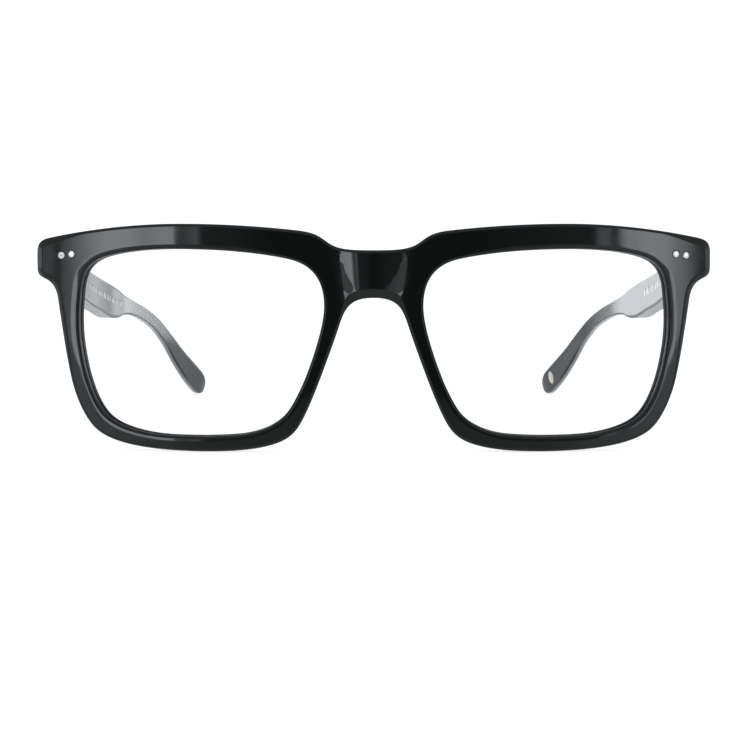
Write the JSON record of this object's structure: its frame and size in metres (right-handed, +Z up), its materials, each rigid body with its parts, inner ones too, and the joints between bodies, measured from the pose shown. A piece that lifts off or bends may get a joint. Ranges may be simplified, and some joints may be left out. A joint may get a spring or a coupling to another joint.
{
  "type": "spectacles",
  "caption": "Square black acetate spectacles with clear lenses, riveted hinges and folding temples with paddle tips.",
  "frame": {"origin": "middle of the footprint, on the table the open glasses stand on", "axes": "+Z up, the front faces -Y and the temples run back along +Y, +X is the wearer's left"},
  "size_m": [0.1444, 0.1484, 0.0482],
  "materials": {
    "acetate": "polished black acetate",
    "lens": "clear, anti-reflection coated",
    "hinge_metal": "satin",
    "rivet_metal": "polished"
  },
  "bodies": {
    "front": {"front_frame": "acetate", "lens_left": "lens", "lens_right": "lens", "nose_pad_left": "acetate", "nose_pad_right": "acetate", "hinge_front_leaf_left": "hinge_metal", "hinge_front_leaf_right": "hinge_metal", "hinge_screw_left": "hinge_metal", "hinge_screw_right": "hinge_metal", "front_rivet_left_inner": "rivet_metal", "front_rivet_left_outer": "rivet_metal", "front_rivet_right_inner": "rivet_metal", "front_rivet_right_outer": "rivet_metal"},
    "left_temple": {"temple_left": "acetate", "temple_core_left": "hinge_metal", "hinge_temple_leaf_left": "hinge_metal", "temple_rivet_left_fore": "rivet_metal", "temple_rivet_left_aft": "rivet_metal", "tip_inlay": "rivet_metal"},
    "right_temple": {"temple_right": "acetate", "temple_core_right": "hinge_metal", "hinge_temple_leaf_right": "hinge_metal", "temple_rivet_right_fore": "rivet_metal", "temple_rivet_right_aft": "rivet_metal"}
  },
  "joints": [
    {"name": "left_hinge", "type": "hinge", "parent": "front", "child": "left_temple", "pos_m": [0.0659, -0.06017, 0.0409], "axis": [0, 0.1478, 0.989], "range_deg": [0, 83]},
    {"name": "right_hinge", "type": "hinge", "parent": "front", "child": "right_temple", "pos_m": [-0.0659, -0.06017, 0.0409], "axis": [0, -0.1478, -0.989], "range_deg": [0, 71]}
  ]
}
